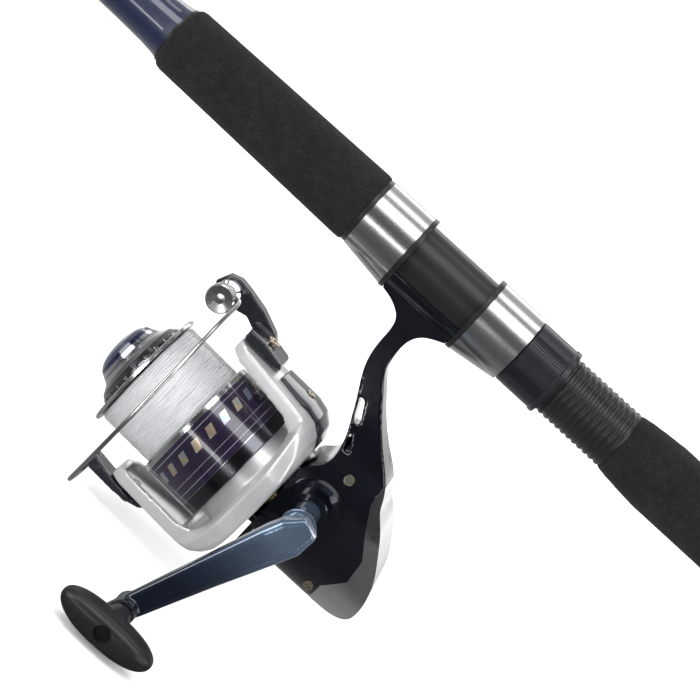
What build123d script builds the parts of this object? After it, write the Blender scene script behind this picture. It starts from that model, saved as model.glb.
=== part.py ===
from build123d import *
import math
import os

# Spinning rod and reel, in millimetres.
# X runs along the rod towards its tip, Z is up, and the reel hangs below the rod.
# The handle is on the +Y side. The origin is on the rod's axis, halfway along the reel foot.
# Every solid of the reel head is drawn about the X axis first and then put on the reel's own axis.

# rod
butt_end_x = -330.0
joint_x = 737.0
tip_end_x = 1804.0
blank_r = 9.7
blank_wall = 1.6
blank_taper_from_x = 157.0
joint_r = 6.9
spigot_length = 90.0
tip_r = 1.5
sleeve_wall = 1.5
slip_fit = 0.05

# reel seat
seat_r = 12.6
seat_front_x = 39.7
seat_rear_x = -88.5
thread_root_r = 12.1
thread_pitch = 2.8
thread_front_x = -57.0
thread_turns = 11
hood_r = 14.8
hood_wall = 0.9
hood_mouth_x = 18.0
hood_end_x = 37.7
rim_width = 2.0
scoop_r = 11.5
scoop_mouth_z = -6.1
scoop_end_z = -3.3
nut_front_x = -38.0
nut_rear_x = -56.4
nut_r = 14.4

# grips
foregrip_rear_x = 39.7
foregrip_front_x = 135.2
rear_grip_front_x = -88.5
grip_r = 14.7
butt_cap_r = 15.6
butt_cap_length = 60.0

# reel axis: leans up towards the tip
axis_drop = 108.8
axis_tilt = 2.3
handle_x = -21.0
handle_z = -96.0
crank_reach_x = 26.6
crank_drop = 56.0

# rotor and spool, as distances along the reel axis and radii from it
rotor_rear = -6.2
rotor_floor = 2.8
rotor_tip = 43.4
rotor_r = 39.0
rotor_inner_r = 33.5
drum_r = 23.4
drum_front = 29.0
skirt_r = 27.4
skirt_rear = 9.2
skirt_front = 35.8
line_r = 24.6
lip_u = 62.2
lip_r = 26.7
bail_pivot = 33.9
roller_u = 59.7
roller_z = 45.3
main_shaft_r = 2.0
worm_z = -8.0
gear_r = 15.2
pinion_tip_r = 4.0
pinion_stem_r = 3.85

# guides: distance from the reel foot, ring radius, height of the ring centre below the rod's axis
guide_list = [
    (612.0, 15.0, 44.0),
    (935.0, 11.0, 33.0),
    (1190.0, 8.5, 25.0),
    (1405.0, 6.5, 19.0),
    (1600.0, 5.0, 14.0),
]


def turned(points):
    """A solid turned about X from (distance along X, radius) corners."""
    outline = Plane.XZ * Polyline(*points, close=True)
    return revolve(make_face(outline), Axis.X, 360)


def ring(x0, x1, outer, inner):
    return turned([(x0, inner), (x0, outer), (x1, outer), (x1, inner)])


def rod_x(x0, x1, radius):
    return turned([(x0, 0), (x0, radius), (x1, radius), (x1, 0)])


def between(start, end, radius):
    """A round bar from one point to another."""
    start = Vector(*start)
    span = Vector(*end) - start
    place = Plane(origin=start, z_dir=span)
    return place * Cylinder(radius, span.length, align=(Align.CENTER, Align.CENTER, Align.MIN))


def along_y(x, z, y0, y1, radius):
    return between((x, y0, z), (x, y1, z), radius)


def prism_y(points, y0, y1):
    """A prism across Y from (X, Z) corners."""
    face = make_face(Plane.XZ * Polyline(*points, close=True))
    return Pos(0, y0, 0) * extrude(face, y1 - y0, dir=(0, 1, 0))


def prism_z(points, z0, z1):
    """A prism up Z from (X, Y) corners."""
    face = make_face(Polyline(*points, close=True))
    return Pos(0, 0, z0) * extrude(face, z1 - z0, dir=(0, 0, 1))


def on_reel_axis(shape):
    return Pos(0, 0, -axis_drop) * Rot(0, -axis_tilt, 0) * shape


def block(x0, x1, y0, y1, z0, z1):
    centre = Pos((x0 + x1) / 2, (y0 + y1) / 2, (z0 + z1) / 2)
    return centre * Box(x1 - x0, y1 - y0, z1 - z0)


def blank_radius(x):
    """Outside radius of the rod blank at a distance along the rod."""
    if x < blank_taper_from_x:
        return blank_r
    share = (x - blank_taper_from_x) / (joint_x - blank_taper_from_x)
    if x <= joint_x + spigot_length:
        return blank_r + (joint_r - blank_r) * share
    sleeve_x = joint_x + spigot_length + 3
    share = (x - sleeve_x) / (tip_end_x - 6 - sleeve_x)
    return joint_r + sleeve_wall + (tip_r - joint_r - sleeve_wall) * share


# ---- rod ----

def make_butt_blank():
    front = joint_x + spigot_length
    front_r = blank_radius(front)
    outer = [(butt_end_x + 4, blank_r), (blank_taper_from_x, blank_r), (front, front_r)]
    inner = [(front, front_r - blank_wall), (blank_taper_from_x, blank_r - blank_wall)]
    inner.append((butt_end_x + 4, blank_r - blank_wall))
    return turned(outer + inner)


def make_tip_blank():
    """Its rear end is a sleeve that slips over the front of the butt blank."""
    sleeve_x = joint_x + spigot_length + 3
    bore_rear = blank_radius(joint_x) + slip_fit
    bore_front = blank_radius(joint_x + spigot_length) + slip_fit
    points = [
        (joint_x, bore_rear),
        (joint_x, joint_r + sleeve_wall),
        (sleeve_x, joint_r + sleeve_wall),
        (tip_end_x - 6, tip_r),
        (tip_end_x - 6, 0),
        (sleeve_x + 260, 0),
        (sleeve_x, bore_front),
    ]
    return turned(points)


def make_ferrule_wrap():
    inner = joint_r + sleeve_wall
    return turned([
        (joint_x, inner), (joint_x, inner + 0.5), (joint_x + 1.5, inner + 0.9),
        (joint_x + 44, inner + 0.9), (joint_x + 47, inner + 0.1), (joint_x + 47, inner),
    ])


def make_rear_grip():
    front = rear_grip_front_x
    rear = butt_end_x + butt_cap_length
    return turned([
        (rear, blank_r), (rear, grip_r), (front - 20, grip_r), (front - 12, grip_r - 0.6),
        (front - 5, 13.4), (front - 1, 12.75), (front, 12.3), (front, blank_r),
    ])


def make_butt_cap():
    x = butt_end_x
    return turned([
        (x, 0), (x, 12.5), (x + 1.2, 14.3), (x + 3.5, butt_cap_r), (x + 55, butt_cap_r),
        (x + 58, 15.2), (x + 60, 14.75), (x + 60, blank_r), (x + 4, blank_r), (x + 4, 0),
    ])


def make_fore_grip():
    rear = foregrip_rear_x
    front = foregrip_front_x
    return turned([
        (rear, blank_r), (rear, 14.3), (rear + 0.7, 14.9), (rear + 2.5, 15.1),
        (front - 3, 13.8), (front - 1.2, 13.4), (front, 12.4), (front, blank_r),
    ])


def make_fore_winding():
    start = foregrip_front_x + 0.9
    return turned([
        (start, blank_r), (start, 11.9), (start + 3, 11.3), (start + 8, 10.8),
        (start + 20, 10.35), (start + 30, 10.2), (start + 62, 10.1), (start + 64, blank_r + 0.05),
        (start + 64, blank_radius(start + 64)), (blank_taper_from_x, blank_r),
    ])


def make_seat_tube():
    """Tube with a round-crested thread at its rear end."""
    points = [(seat_front_x, blank_r), (seat_front_x, 12.2), (seat_front_x - 2, seat_r)]
    x = thread_front_x
    points.append((x, seat_r))
    for turn in range(thread_turns):
        points.append((x - 0.35, thread_root_r))
        points.append((x - 1.05, thread_root_r))
        points.append((x - 1.5, seat_r - 0.08))
        points.append((x - 2.1, seat_r))
        points.append((x - 2.65, seat_r - 0.08))
        x = x - thread_pitch
    points.append((seat_rear_x, thread_root_r))
    points.append((seat_rear_x, blank_r))
    return turned(points)


def scoop(x_mouth, x_end, radius):
    """The bulge of a hood, round in section, that takes the end of the reel foot."""
    mouth = Plane((x_mouth, 0, scoop_mouth_z), z_dir=(1, 0, 0)) * Circle(radius)
    end = Plane((x_end, 0, scoop_end_z), z_dir=(1, 0, 0)) * Circle(radius)
    return loft([mouth, end])


def make_hood():
    outside = rod_x(hood_mouth_x, hood_end_x, hood_r) + scoop(hood_mouth_x, hood_end_x, scoop_r)
    hollow = rod_x(hood_mouth_x - 1, hood_end_x + 1, hood_r - hood_wall)
    pocket = scoop(hood_mouth_x - 0.01, hood_end_x + 0.01, scoop_r - hood_wall)
    return outside - hollow - pocket


def make_hood_liner():
    """Plastic rim at the mouth, with a sleeve between the hood and the seat tube."""
    mouth = hood_mouth_x - rim_width
    rim = rod_x(mouth, hood_mouth_x, hood_r + 0.2)
    low = Plane((mouth, 0, scoop_mouth_z), z_dir=(1, 0, 0)) * Circle(scoop_r + 0.2)
    rim = rim + extrude(low, rim_width, dir=(1, 0, 0))
    sleeve = rod_x(hood_mouth_x, hood_end_x - 0.1, hood_r - hood_wall)
    pocket = scoop(hood_mouth_x, hood_end_x, scoop_r - hood_wall)
    low_cut = Plane((mouth, 0, scoop_mouth_z), z_dir=(1, 0, 0)) * Circle(scoop_r - hood_wall)
    body = rim + sleeve
    body = body - rod_x(mouth - 1, hood_end_x + 1, seat_r + 0.08)
    return body - pocket - extrude(low_cut, rim_width, dir=(1, 0, 0))


def make_lock_nut():
    length = nut_front_x - nut_rear_x
    nut = turned([
        (nut_rear_x, seat_r + 0.08), (nut_rear_x, nut_r), (nut_rear_x + 1.8, nut_r),
        (nut_rear_x + 2.3, nut_r - 0.5), (nut_front_x - 0.6, nut_r - 0.5),
        (nut_front_x, nut_r - 1.0), (nut_front_x, seat_r + 0.08),
    ])
    grooves = []
    for group in range(6):
        for groove in range(5):
            angle = group * 60 + groove * 4.2
            cut = block(nut_rear_x + 2.6, nut_front_x - 1, -0.25, 0.25, nut_r - 0.85, nut_r + 1)
            grooves.append(Rot(angle, 0, 0) * cut)
    return nut - grooves


def foot_envelope(fit):
    """Both ends of the reel foot fill the hood pockets, less a fit."""
    radius = scoop_r - hood_wall - fit
    mouth = hood_mouth_x - rim_width
    front = scoop(mouth, hood_end_x - 1.5, radius)
    middle = between((-mouth, 0, scoop_mouth_z), (mouth, 0, scoop_mouth_z), radius)
    return front + mirror(front, Plane.YZ) + middle


def make_guide_frame(x, ring_r, drop):
    surface = blank_radius(x) - 0.1
    holder = Pos(x, 0, -drop) * Rot(0, 90, 0) * Torus(ring_r + 1.3, 0.9)
    parts = [holder]
    reach = drop * 0.42 + 6
    for side in (-1, 1):
        side_y = side * (ring_r + 1.3) * 0.75
        side_z = -drop + (ring_r + 1.3) * 0.66
        parts.append(between((x, side_y, side_z), (x - reach, side * 0.9, -surface - 0.9), 0.8))
    top = -drop + ring_r + 1.3
    parts.append(between((x, 0, top), (x + reach * 0.8, 0, -surface - 0.9), 0.8))
    foot_rear = block(x - reach - 12, x - reach + 1.5, -1.7, 1.7, -surface - 1.2, -surface + 1)
    foot_front = block(x + reach * 0.8 - 1.5, x + reach * 0.8 + 11, -1.5, 1.5, -surface - 1.2, -surface + 1)
    parts.append(foot_rear)
    parts.append(foot_front)
    frame = parts[0] + parts[1:]
    far = blank_radius(x + 60)
    near = blank_radius(x - 60)
    blank = turned([(x - 60, 0), (x - 60, near), (x + 60, far), (x + 60, 0)])
    return frame - blank


def make_guide_ring(x, ring_r, drop):
    insert = turned([
        (-1.1, ring_r), (-0.6, ring_r - 0.7), (0, ring_r - 0.9), (0.6, ring_r - 0.7),
        (1.1, ring_r), (1.1, ring_r + 0.38), (-1.1, ring_r + 0.38),
    ])
    return Pos(x, 0, -drop) * insert


def make_wraps(guides, frames):
    """Thread bindings that hold the guide feet to the blank."""
    wraps = []
    for guide, frame in zip(guides, frames):
        x, ring_r, drop = guide
        reach = drop * 0.42 + 6
        for start, end in ((x - reach - 15, x - reach - 1), (x + reach * 0.8 + 1, x + reach * 0.8 + 14)):
            r0 = blank_radius(start)
            r1 = blank_radius(end)
            wrap = turned([(start, r0), (start + 3, r0 + 1.5), (end - 3, r1 + 1.5), (end, r1)])
            wraps.append(wrap - frame)
    return Compound(children=wraps)


def make_tip_top():
    """Tube, two braces and the ring holder at the very tip."""
    tube = ring(tip_end_x - 16, tip_end_x - 4, 2.3, tip_r + 0.25)
    holder = Pos(tip_end_x, 0, -7.5) * Rot(0, 78, 0) * Torus(4.6, 0.8)
    parts = [tube, holder]
    for side in (-1, 1):
        parts.append(between((tip_end_x - 8, side * 1.9, 0), (tip_end_x - 0.5, side * 4.2, -5.2), 0.7))
    parts.append(between((tip_end_x - 15, 0, -2.1), (tip_end_x + 0.6, 0, -11.6), 0.7))
    frame = parts[0] + parts[1:]
    return frame - rod_x(tip_end_x - 18, tip_end_x - 5.9, tip_r + 0.2)


# ---- reel body ----

side_outline = [
    (15.5, -12.0), (15.8, -16.4), (11.3, -17.4), (7.3, -19.2), (4.2, -22.1), (3.0, -26.3),
    (2.7, -33.7), (2.0, -39.4), (0.1, -45.3), (-4.8, -54.3), (-8.9, -61.9), (-12.9, -70.5),
    (-13.9, -75.6), (-13.4, -79.7), (-10.5, -83.3), (-8.0, -86.6), (-8.0, -118.5),
    (-11.3, -118.5), (-11.3, -126.6), (-30.0, -127.2), (-44.8, -127.0), (-52.2, -125.9),
    (-57.1, -123.6), (-60.2, -120.2), (-61.1, -115.2), (-60.4, -109.2), (-57.2, -100.3),
    (-52.2, -92.5), (-45.6, -84.0), (-40.2, -78.1), (-38.9, -75.6), (-29.0, -65.4),
    (-19.3, -56.1), (-10.3, -45.3), (-6.4, -39.4), (-5.2, -33.7), (-5.4, -25.6),
    (-7.7, -21.2), (-12.4, -18.0), (-15.8, -16.4), (-15.5, -12.0),
]
half_widths = [
    (-11.0, 7.5), (-18.0, 6.6), (-26.0, 5.4), (-40.0, 5.0), (-52.0, 5.8), (-62.0, 7.6),
    (-72.0, 11.0), (-80.0, 14.8), (-88.0, 17.3), (-96.0, 18.0), (-110.0, 18.0),
    (-118.0, 16.4), (-123.5, 12.5), (-127.5, 6.0),
]
cap_outline = [
    (-36.5, -70.0), (-36.5, -79.5), (-41.5, -87.6), (-48.9, -97.8), (-50.1, -108.0),
    (-43.7, -116.6), (-43.8, -130.0), (-70.0, -130.0), (-70.0, -70.0),
]
cover_y = 13.0


def drawn_in(points, inset):
    """Each point of a clockwise closed outline moved inwards, square to its two sides."""
    moved = []
    for i, (x, z) in enumerate(points):
        before = points[i - 1]
        after = points[(i + 1) % len(points)]
        run_in = Vector(x - before[0], z - before[1], 0).normalized()
        run_out = Vector(after[0] - x, after[1] - z, 0).normalized()
        across_x = run_in.Y + run_out.Y
        across_z = -run_in.X - run_out.X
        reach = inset / (1 + run_in.dot(run_out))
        moved.append((x + reach * across_x, z + reach * across_z))
    return moved


def end_prism(inset):
    """The end outline of stem and housing, carried along X."""
    near = [(width, z) for z, width in half_widths]
    far = [(-width, z) for z, width in reversed(half_widths)]
    points = drawn_in(near + far, inset)
    near = points[:len(near)]
    far = points[len(near):]
    rim = [Spline(*near), Line(near[-1], far[0]), Spline(*far), Line(far[-1], near[0])]
    end = make_face([Plane.YZ * edge for edge in rim])
    return Pos(-80, 0, 0) * extrude(end, 120, dir=(1, 0, 0))


def pod(inset):
    """Stem and housing: the side outline and the end outline, each drawn in by the inset."""
    points = drawn_in(side_outline, inset)
    front = points[1:16]
    bottom = points[15:19]
    rear = points[18:-1]
    foot = [points[-2], points[-1], points[0], points[1]]
    rim = [Spline(*front), Polyline(*bottom), Spline(*rear), Polyline(*foot)]
    side = make_face([Plane.XZ * edge for edge in rim])
    across = Pos(0, -30, 0) * extrude(side, 60, dir=(0, 1, 0))
    return across & end_prism(inset)


def housing_hollow():
    """Room for the gears inside the housing and inside its round nose."""
    inside = [(-14, -79.5), (-9, -88), (-8, -118.5), (-11.3, -118.5), (-11.3, -126.6)] + side_outline[19:28]
    inside = drawn_in(inside, 3.0)
    side = make_face(Plane.XZ * Polyline(*inside, close=True))
    hollow = (Pos(0, -30, 0) * extrude(side, 60, dir=(0, 1, 0))) & end_prism(3.0)
    hollow = hollow & block(-70, 10, -30, 30, -140, -79.5)
    nose = on_reel_axis(rod_x(-14, -2.6, 22.4)) & end_prism(2.6)
    nose = nose & block(-20, 5, -30, 30, -115.5, -80)
    gear_room = along_y(handle_x, handle_z, -9.2, -3.6, gear_r + 0.5)
    return hollow + nose + gear_room


def make_housing():
    """Foot, stem and housing before the covers are taken off it."""
    cap_zone = prism_y(cap_outline, -40, 40)
    shell = pod(0) - cap_zone
    shell = shell + (pod(1.4) & cap_zone)
    nose = on_reel_axis(rod_x(-16, -0.9, 24.4)) & end_prism(0)
    shell = shell + (nose & block(-20, 5, -24, 24, -118.5, -80))
    shell = shell + foot_envelope(0.12)
    shell = shell - rod_x(-60, 60, seat_r + 0.02)
    shell = shell - housing_hollow()
    front_boss = on_reel_axis(rod_x(-4.6, 7.6, 10.2))
    worm_front = on_reel_axis(block(-14.5, -11.0, -6, 6, -18, worm_z + 3.4)) & pod(0)
    worm_rear = on_reel_axis(block(-60, -54.7, -4, 4, worm_z - 4.2, worm_z + 4)) & pod(1.4)
    shell = shell + front_boss + worm_front + worm_rear
    far_boss = along_y(handle_x, handle_z, -19.5, -10.5, 9.0)
    shell = shell + far_boss
    for x, z in screw_places[1:]:
        shell = shell + (along_y(x, z, 5.5, cover_y, 3.3) & pod(1.4))
    return shell


def make_reel_body():
    body = make_housing()
    body = body - block(-70, 12, cover_y, 40, -140, -77.5)
    holes = [
        on_reel_axis(rod_x(-5, 1.2, 8.0)),
        on_reel_axis(rod_x(1.1, 6.9, 7.2)),
        on_reel_axis(rod_x(6.8, 9.0, 5.0)),
        on_reel_axis(Pos(0, 0, worm_z) * rod_x(-14.8, -11.9, 1.55)),
        on_reel_axis(Pos(0, 0, worm_z) * rod_x(-57.4, -54, 1.55)),
        along_y(handle_x, handle_z, -14.5, -9, 6.5),
        along_y(handle_x, handle_z, -25, -9, 4.2),
        between((-14.1, 0, -121.4), (-10, 0, -121.4), 1.85),
    ]
    holes.append(prism_y([(-5.9, -53.8), (-7.2, -53.8), (-12.0, -61.8), (-10.1, -62.3)], -20, 20))
    holes.append(prism_y([(-12.3, -66.3), (-13.7, -66.3), (-17.9, -71.9), (-15.0, -72.4)], -20, 20))
    for x, z in screw_places:
        holes.append(along_y(x, z, 6.0, 20, 1.3))
    return body - holes


screw_places = [(-24.3, -78.2), (-40.4, -120.6), (-18.0, -120.6)]


def make_side_cover():
    """Near side of the housing with the raised rings round the handle shaft."""
    skin = pod(0) - prism_y(cap_outline, -40, 40)
    under_cap = pod(1.4) & prism_y(cap_outline, -40, 40)
    cover = (skin + under_cap) & block(-70, 12, cover_y, 40, -140, -77.5)
    cover = cover - housing_hollow()
    cover = cover + along_y(handle_x, handle_z, cover_y, 20.5, 11.8)
    cover = cover + along_y(handle_x, handle_z, 20, 24.5, 8.0)
    cover = cover - along_y(handle_x, handle_z, 10, 18.0, 6.5)
    cover = cover - along_y(handle_x, handle_z, 10, 26, 5.3)
    for x, z in screw_places:
        cover = cover - along_y(x, z, 12, 30, 1.3)
        cover = cover - along_y(x, z, 14.55, 30, 2.3)
    return cover


def make_rear_cover():
    shell = (pod(0) - pod(1.3)) & prism_y(cap_outline, -40, 40)
    return shell


def make_cover_screws():
    screws = []
    for x, z in screw_places:
        depth = 14.6
        shank = along_y(x, z, 6.5, depth, 1.25)
        head = along_y(x, z, depth, depth + 1.3, 2.1)
        cross = block(x - 1.3, x + 1.3, depth + 0.7, depth + 2, z - 0.3, z + 0.3)
        cross = cross + block(x - 0.3, x + 0.3, depth + 0.7, depth + 2, z - 1.3, z + 1.3)
        screws.append(shank + head - cross)
    return Compound(children=screws)


def make_handle_cap():
    """Screw-in dust cap over the shaft on the far side."""
    cap = along_y(handle_x, handle_z, -22.6, -19.5, 7.6)
    plug = along_y(handle_x, handle_z, -19.5, -17.0, 4.1)
    slot = block(handle_x - 5.5, handle_x + 5.5, -23, -21.8, handle_z - 0.8, handle_z + 0.8)
    return cap + plug - slot


def make_shaft_bearings():
    bearings = []
    for y0, y1 in ((-14.4, -10.6), (14.0, 17.9)):
        bearing = along_y(handle_x, handle_z, y0, y1, 6.45)
        bearings.append(bearing - along_y(handle_x, handle_z, y0 - 1, y1 + 1, 3.55))
    return Compound(children=bearings)


def make_pinion_bearing():
    return on_reel_axis(ring(-3.4, 1.0, 7.95, 3.9))


def make_roller_clutch():
    return on_reel_axis(ring(1.3, 6.7, 7.15, 3.9))


def make_reverse_lever():
    """Switch below the front of the housing; its shaft lies along X."""
    shaft = between((-13.8, 0, -121.4), (-9, 0, -121.4), 1.8)
    hub = between((-10.8, 0, -121.4), (-8.4, 0, -121.4), 2.6)
    arm = block(-10.8, -8.4, -1.7, 1.7, -131.5, -121.4)
    thumb = block(-12.0, -8.4, -2.4, 2.4, -134.0, -129.5)
    return shaft + hub + arm + thumb


# ---- gear train and handle ----

def star(teeth, outer, root):
    points = []
    for tooth in range(teeth):
        middle = 2 * math.pi * tooth / teeth
        step = 2 * math.pi / teeth
        for share, radius in ((-0.32, root), (-0.14, outer), (0.14, outer), (0.32, root)):
            angle = middle + share * step
            points.append((radius * math.cos(angle), radius * math.sin(angle)))
    return make_face(Polyline(*points, close=True))


def spur(u0, u1, teeth, outer, root):
    face = Plane((u0, 0, 0), z_dir=(1, 0, 0)) * star(teeth, outer, root)
    return extrude(face, u1 - u0, dir=(1, 0, 0))


def make_pinion():
    pinion = spur(-27, -13.6, 10, pinion_tip_r, 2.9)
    pinion = pinion + rod_x(-13.6, 16.5, pinion_stem_r)
    return on_reel_axis(pinion - rod_x(-30, 20, main_shaft_r + 0.05))


def make_drive_gear():
    shaft = along_y(handle_x, handle_z, -16.5, 24.0, 3.5)
    plate = along_y(handle_x, handle_z, -8.2, -5.9, gear_r)
    hub = along_y(handle_x, handle_z, -10.4, -4.7, 6.2)
    teeth = []
    for tooth in range(52):
        bar = block(gear_r - 3.0, gear_r, -6.0, -pinion_tip_r - 0.15, -0.36, 0.36)
        teeth.append(Pos(handle_x, 0, handle_z) * Rot(0, tooth * 360 / 52, 0) * bar)
    collar = along_y(handle_x, handle_z, 10.5, 13.9, 5.0)
    return shaft + [plate, hub, collar] + teeth


def crank_point(share, y):
    return (handle_x + crank_reach_x * share, y, handle_z - crank_drop * share)


def make_handle_arm():
    """Shank out of the housing, hub and the flat arm that leans outwards to the knob."""
    shank = along_y(handle_x, handle_z, 24.0, 51.0, 5.0)
    cone = Plane((handle_x, 38, handle_z), z_dir=(0, 1, 0)) * Cone(5.0, 7.2, 9)
    stations = [(-0.13, 52.0, 4.2, 3.6), (0.0, 52.0, 7.3, 5.0), (0.12, 53.2, 7.2, 5.0)]
    stations += [(0.5, 61.0, 5.8, 3.6), (0.92, 70.0, 4.7, 3.0), (1.1, 72.5, 4.2, 2.8)]
    travel = Vector(crank_reach_x, 0, -crank_drop)
    sections = []
    for share, y, half_width, half_depth in stations:
        place = Plane(origin=crank_point(share, y), x_dir=(0, 1, 0), z_dir=travel)
        sections.append(place * RectangleRounded(2 * half_depth, 2 * half_width, half_depth * 0.55))
    arm = loft(sections, ruled=True)
    arm = shank + cone + arm
    x, y, z = crank_point(1.0, 0)
    bearing = along_y(x, z, 66.0, 77.0, 5.0)
    return arm + bearing - along_y(x, z, 60, 80, 2.0)


def make_knob_post():
    x, y, z = crank_point(1.0, 0)
    post = along_y(x, z, 66.2, 96.0, 2.0)
    head = along_y(x, z, 95.0, 96.6, 3.3)
    washer = along_y(x, z, 77.05, 78.2, 4.6)
    return post + head + washer


def make_handle_knob():
    """T-shaped grip that turns on the post."""
    x, y, z = crank_point(1.0, 0)
    neck = Plane((x, 83.5, z), z_dir=(0, 1, 0)) * Cone(4.6, 6.4, 10)
    bar = Pos(x, 92.5, z) * Rot(0, 90, 0) * Cylinder(7.2, 27)
    ends = [Pos(x + side * 13.5, 92.5, z) * Sphere(7.2) for side in (-1, 1)]
    knob = neck + [bar] + ends
    knob = knob - along_y(x, z, 76, 110, 2.08)
    return knob - along_y(x, z, 94.9, 110, 3.5)


# ---- rotor and bail ----

def make_rotor():
    """Rear dish, two arms and the drum that runs inside the spool skirt."""
    cup = turned([
        (rotor_rear, 0), (rotor_rear, 27), (rotor_rear + 0.8, 31), (rotor_rear + 3.4, 35),
        (rotor_rear + 7.5, 38), (rotor_rear + 12.5, rotor_r), (rotor_tip, rotor_r),
        (rotor_tip, rotor_inner_r + 1), (rotor_tip - 1, rotor_inner_r), (12, rotor_inner_r),
        (6.5, rotor_inner_r - 1.6), (3.8, rotor_inner_r - 4.4), (rotor_floor, rotor_inner_r - 8.5),
        (rotor_floor, 13.0), (10.8, 12.6), (11.4, 11.0), (11.4, 0),
    ])
    plan = [
        (rotor_rear - 1, -28), (rotor_floor - 1.5, -28), (rotor_floor + 3, -15.5), (12, -14.2),
        (rotor_tip - 5, -9.6), (rotor_tip, -5.5), (rotor_tip + 1, -4),
    ]
    plan = plan + [(u, -y) for u, y in reversed(plan)]
    rotor = cup & prism_z(plan, -60, 60)
    oval = Plane((rotor_rear - 1, 0, 0), x_dir=(0, 1, 0), z_dir=(1, 0, 0)) * Ellipse(29.5, 46)
    rotor = rotor & extrude(oval, 60, dir=(1, 0, 0))
    trough = ring(8.5, rotor_tip - 3.2, rotor_inner_r + 2.6, rotor_inner_r - 1)
    lane = [(8, -11.2), (12, -11.0), (rotor_tip - 6, -6.8), (rotor_tip - 3, -4.5)]
    lane = lane + [(u, -y) for u, y in reversed(lane)]
    rotor = rotor - (trough & prism_z(lane, -60, 60))
    rotor = rotor - rod_x(rotor_rear - 1, 0, 25.4)
    drum = ring(rotor_floor - 1, drum_front, drum_r, drum_r - 2.2)
    rotor = rotor + drum - rod_x(-1, 8.4, 10.8)
    rotor = rotor - rod_x(-8, 30, pinion_stem_r + 0.02)
    for side in (-1, 1):
        pin = between((bail_pivot, 0, side * 30), (bail_pivot, 0, side * 45), 1.7)
        rotor = rotor - pin
    return on_reel_axis(rotor)


def make_arm_cover():
    """Glossy strip that follows the outside of the upper rotor arm round to the rear."""
    strip = turned([
        (-6.1, 30.6), (-3.6, 35.7), (1.0, 39.2), (6.3, 40.4), (22.0, 40.4), (22.6, rotor_r + 0.02),
        (6.28, rotor_r + 0.03), (1.26, 38.05), (-2.86, 35.06), (-5.43, 31.1), (-5.72, 30.3),
    ])
    plan = [(-8, -10.5), (10, -10.5), (22.8, -7.5), (22.8, 7.5), (10, 10.5), (-8, 10.5)]
    cover = strip & prism_z(plan, 0, 60)
    return on_reel_axis(cover - between((10.0, 0, 38), (10.0, 0, 44), 1.75))


def make_rotor_nut():
    nut = Plane((11.45, 0, 0), z_dir=(1, 0, 0)) * RegularPolygon(7.0, 6)
    return on_reel_axis(extrude(nut, 4.5, dir=(1, 0, 0)) - rod_x(11, 17, pinion_stem_r + 0.02))


def make_bail_spring():
    """Small torsion spring in the trough of the upper arm."""
    coil = ring(-3.0, 3.0, 2.6, 1.7)
    spring = Pos(24.0, 0, 33.2) * Rot(0, 0, 90) * coil
    return on_reel_axis(spring)


def make_bail_arm():
    """Pivoting arm above the upper rotor arm, ending in the line roller's seat."""
    base = [(24.6, 39.9), (25.6, 42.4), (36, 44.3), (43.4, 44.3), (43.4, 39.9)]
    pad = prism_y(base, -8.6, 7.6)
    rounding = between((bail_pivot, 0, 39), (bail_pivot, 0, 52), 11.2)
    pad = pad & rounding
    web = [
        (30.5, 41.0), (35.8, 46.2), (45.3, 49.9), (54.0, 51.6), (59.7, 52.3), (64.5, 50.5),
        (66.7, 45.3), (64.6, 40.4), (59.7, 38.4), (54.5, 41.6), (48.5, 43.2), (43.4, 41.2),
    ]
    arm = pad + prism_y(web, -8.6, -3.2)
    arm = arm - between((bail_pivot, 0, 38), (bail_pivot, 0, 50), 1.62)
    arm = arm - along_y(roller_u, roller_z, -12, 0, 1.5)
    return on_reel_axis(arm)


def make_bail_lever():
    """Matching lever on the lower rotor arm, hooked to the bail wire."""
    plan = [(25.5, -6.0), (33.0, -7.2), (46, -4.6), (54.6, -3.2), (54.6, 3.6), (46, 4.8), (33.0, 6.6), (25.5, 5.0)]
    prism = prism_z(plan, -50, -30)
    side = [(25.5, -40.6), (45, -39.9), (54.6, -38.2), (54.6, -44.6), (48, -44.2), (38, -43.6), (27, -41.6)]
    lever = prism & prism_y(side, -10, 10)
    lever = lever - between((bail_pivot, 0, -50), (bail_pivot, 0, -36), 1.62)
    return on_reel_axis(lever - between((53.0, 0, -50), (53.0, 0, -36), 0.8))


def make_bail_screws():
    top = between((bail_pivot, 0, 36.2), (bail_pivot, 0, 45.0), 1.6)
    top = top + between((bail_pivot, 0, 44.32), (bail_pivot, 0, 45.4), 2.6)
    low = between((bail_pivot, 0, -44.0), (bail_pivot, 0, -36.2), 1.6)
    low = low + between((bail_pivot, 0, -44.7), (bail_pivot, 0, -43.5), 2.6)
    screws = []
    for screw, height in ((top, 45.4), (low, -44.7)):
        sink = 0.5 if height > 0 else -0.5
        low_z = min(height, height - sink)
        high_z = max(height, height - sink)
        cross = block(bail_pivot - 1.6, bail_pivot + 1.6, -0.3, 0.3, low_z, high_z)
        cross = cross + block(bail_pivot - 0.3, bail_pivot + 0.3, -1.6, 1.6, low_z, high_z)
        screws.append(on_reel_axis(screw - cross))
    return Compound(children=screws)


def make_bail_cap():
    """Dished end cap outboard of the line roller."""
    profile = [(6.4, 1.55), (6.4, 5.0), (7.6, 5.8), (11.4, 5.8), (12.0, 5.2), (11.3, 2.0)]
    profile = profile + [(11.6, 0), (7.0, 0), (7.0, 1.55)]
    cap = Pos(roller_u, 0, roller_z) * Rot(0, 0, 90) * turned(profile)
    return on_reel_axis(cap) - make_bail_wire()


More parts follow.
